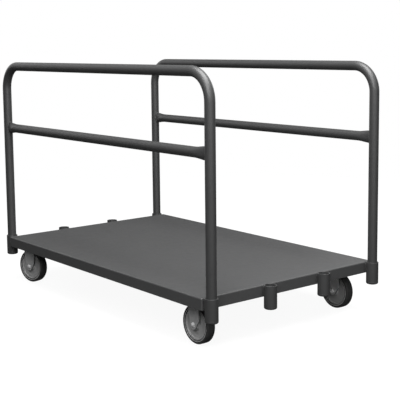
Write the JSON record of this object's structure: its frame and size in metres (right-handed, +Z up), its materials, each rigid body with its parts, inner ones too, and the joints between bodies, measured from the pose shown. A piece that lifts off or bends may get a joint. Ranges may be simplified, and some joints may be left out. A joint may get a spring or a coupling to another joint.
{
  "type": "platform truck",
  "caption": "Steel platform truck for sheets and panels: flat lipped deck, pipe sockets on both ends, lift-out inverted-U pipe uprights, fixed and swivel casters.",
  "frame": {"origin": "on the floor, under the middle of the deck", "axes": "+X to the front end with the fixed casters, +Y to the left side, +Z up"},
  "size_m": [1.3036, 0.762, 0.8683],
  "materials": {
    "deck_paint": "charcoal powder coat, satin, fine texture",
    "frame_paint": "dark grey powder coat, satin",
    "caster_steel": "grey plated pressed steel, satin",
    "zinc_steel": "bright zinc plate",
    "bearing_plastic": "moulded nylon",
    "wheel_plastic": "moulded grey polyolefin",
    "tread_rubber": "dark grey rubber, matt"
  },
  "bodies": {
    "deck": {"deck_pan": "deck_paint", "front_channel": "deck_paint", "rear_channel": "deck_paint", "middle_stiffener": "deck_paint", "socket_caps": "frame_paint", "rear_socket_1": "frame_paint", "rear_socket_2": "frame_paint", "rear_socket_3": "frame_paint", "rear_socket_4": "frame_paint", "front_socket_1": "frame_paint", "front_socket_2": "frame_paint", "front_socket_3": "frame_paint", "front_socket_4": "frame_paint", "plate_bolts": "zinc_steel", "plate_nuts": "zinc_steel", "front_right_plate": "caster_steel", "front_right_fork": "caster_steel", "front_right_sleeve": "zinc_steel", "front_right_axle_bolt": "zinc_steel", "front_right_axle_nut": "zinc_steel", "front_left_plate": "caster_steel", "front_left_fork": "caster_steel", "front_left_sleeve": "zinc_steel", "front_left_axle_bolt": "zinc_steel", "front_left_axle_nut": "zinc_steel", "rear_right_plate": "caster_steel", "rear_right_kingpin": "zinc_steel", "rear_right_balls": "zinc_steel", "rear_left_plate": "caster_steel", "rear_left_kingpin": "zinc_steel", "rear_left_balls": "zinc_steel"},
    "right_upright": {"right_upright_frame": "frame_paint", "right_upright_crossbar": "frame_paint"},
    "left_upright": {"left_upright_frame": "frame_paint", "left_upright_crossbar": "frame_paint"},
    "front_right_wheel_body": {"front_right_bearing": "bearing_plastic", "front_right_wheel": "wheel_plastic", "front_right_tread": "tread_rubber"},
    "front_left_wheel_body": {"front_left_bearing": "bearing_plastic", "front_left_wheel": "wheel_plastic", "front_left_tread": "tread_rubber"},
    "rear_right_swivel": {"rear_right_fork": "caster_steel", "rear_right_sleeve": "zinc_steel", "rear_right_axle_bolt": "zinc_steel", "rear_right_axle_nut": "zinc_steel"},
    "rear_right_wheel_body": {"rear_right_bearing": "bearing_plastic", "rear_right_wheel": "wheel_plastic", "rear_right_tread": "tread_rubber"},
    "rear_left_swivel": {"rear_left_fork": "caster_steel", "rear_left_sleeve": "zinc_steel", "rear_left_axle_bolt": "zinc_steel", "rear_left_axle_nut": "zinc_steel"},
    "rear_left_wheel_body": {"rear_left_bearing": "bearing_plastic", "rear_left_wheel": "wheel_plastic", "rear_left_tread": "tread_rubber"}
  },
  "joints": [
    {"name": "right_upright_lift", "type": "slide", "parent": "deck", "child": "right_upright", "axis": [0, 0, 1], "range_m": [0, 0.09]},
    {"name": "left_upright_lift", "type": "slide", "parent": "deck", "child": "left_upright", "axis": [0, 0, 1], "range_m": [0, 0.09]},
    {"name": "front_right_wheel_roll", "type": "hinge", "parent": "deck", "child": "front_right_wheel_body", "pos_m": [0.51, -0.313, 0.0635], "axis": [0, 1, 0], "continuous": true},
    {"name": "front_left_wheel_roll", "type": "hinge", "parent": "deck", "child": "front_left_wheel_body", "pos_m": [0.51, 0.313, 0.0635], "axis": [0, 1, 0], "continuous": true},
    {"name": "rear_right_swivel_turn", "type": "hinge", "parent": "deck", "child": "rear_right_swivel", "pos_m": [-0.498, -0.313, 0.134], "axis": [0, 0, 1], "continuous": true},
    {"name": "rear_right_wheel_roll", "type": "hinge", "parent": "rear_right_swivel", "child": "rear_right_wheel_body", "pos_m": [-0.53196, -0.32147, 0.0635], "axis": [-0.2419, 0.9703, 0], "continuous": true},
    {"name": "rear_left_swivel_turn", "type": "hinge", "parent": "deck", "child": "rear_left_swivel", "pos_m": [-0.498, 0.313, 0.134], "axis": [0, 0, 1], "continuous": true},
    {"name": "rear_left_wheel_roll", "type": "hinge", "parent": "rear_left_swivel", "child": "rear_left_wheel_body", "pos_m": [-0.53266, 0.31787, 0.0635], "axis": [0.1392, 0.9903, 0], "continuous": true}
  ]
}
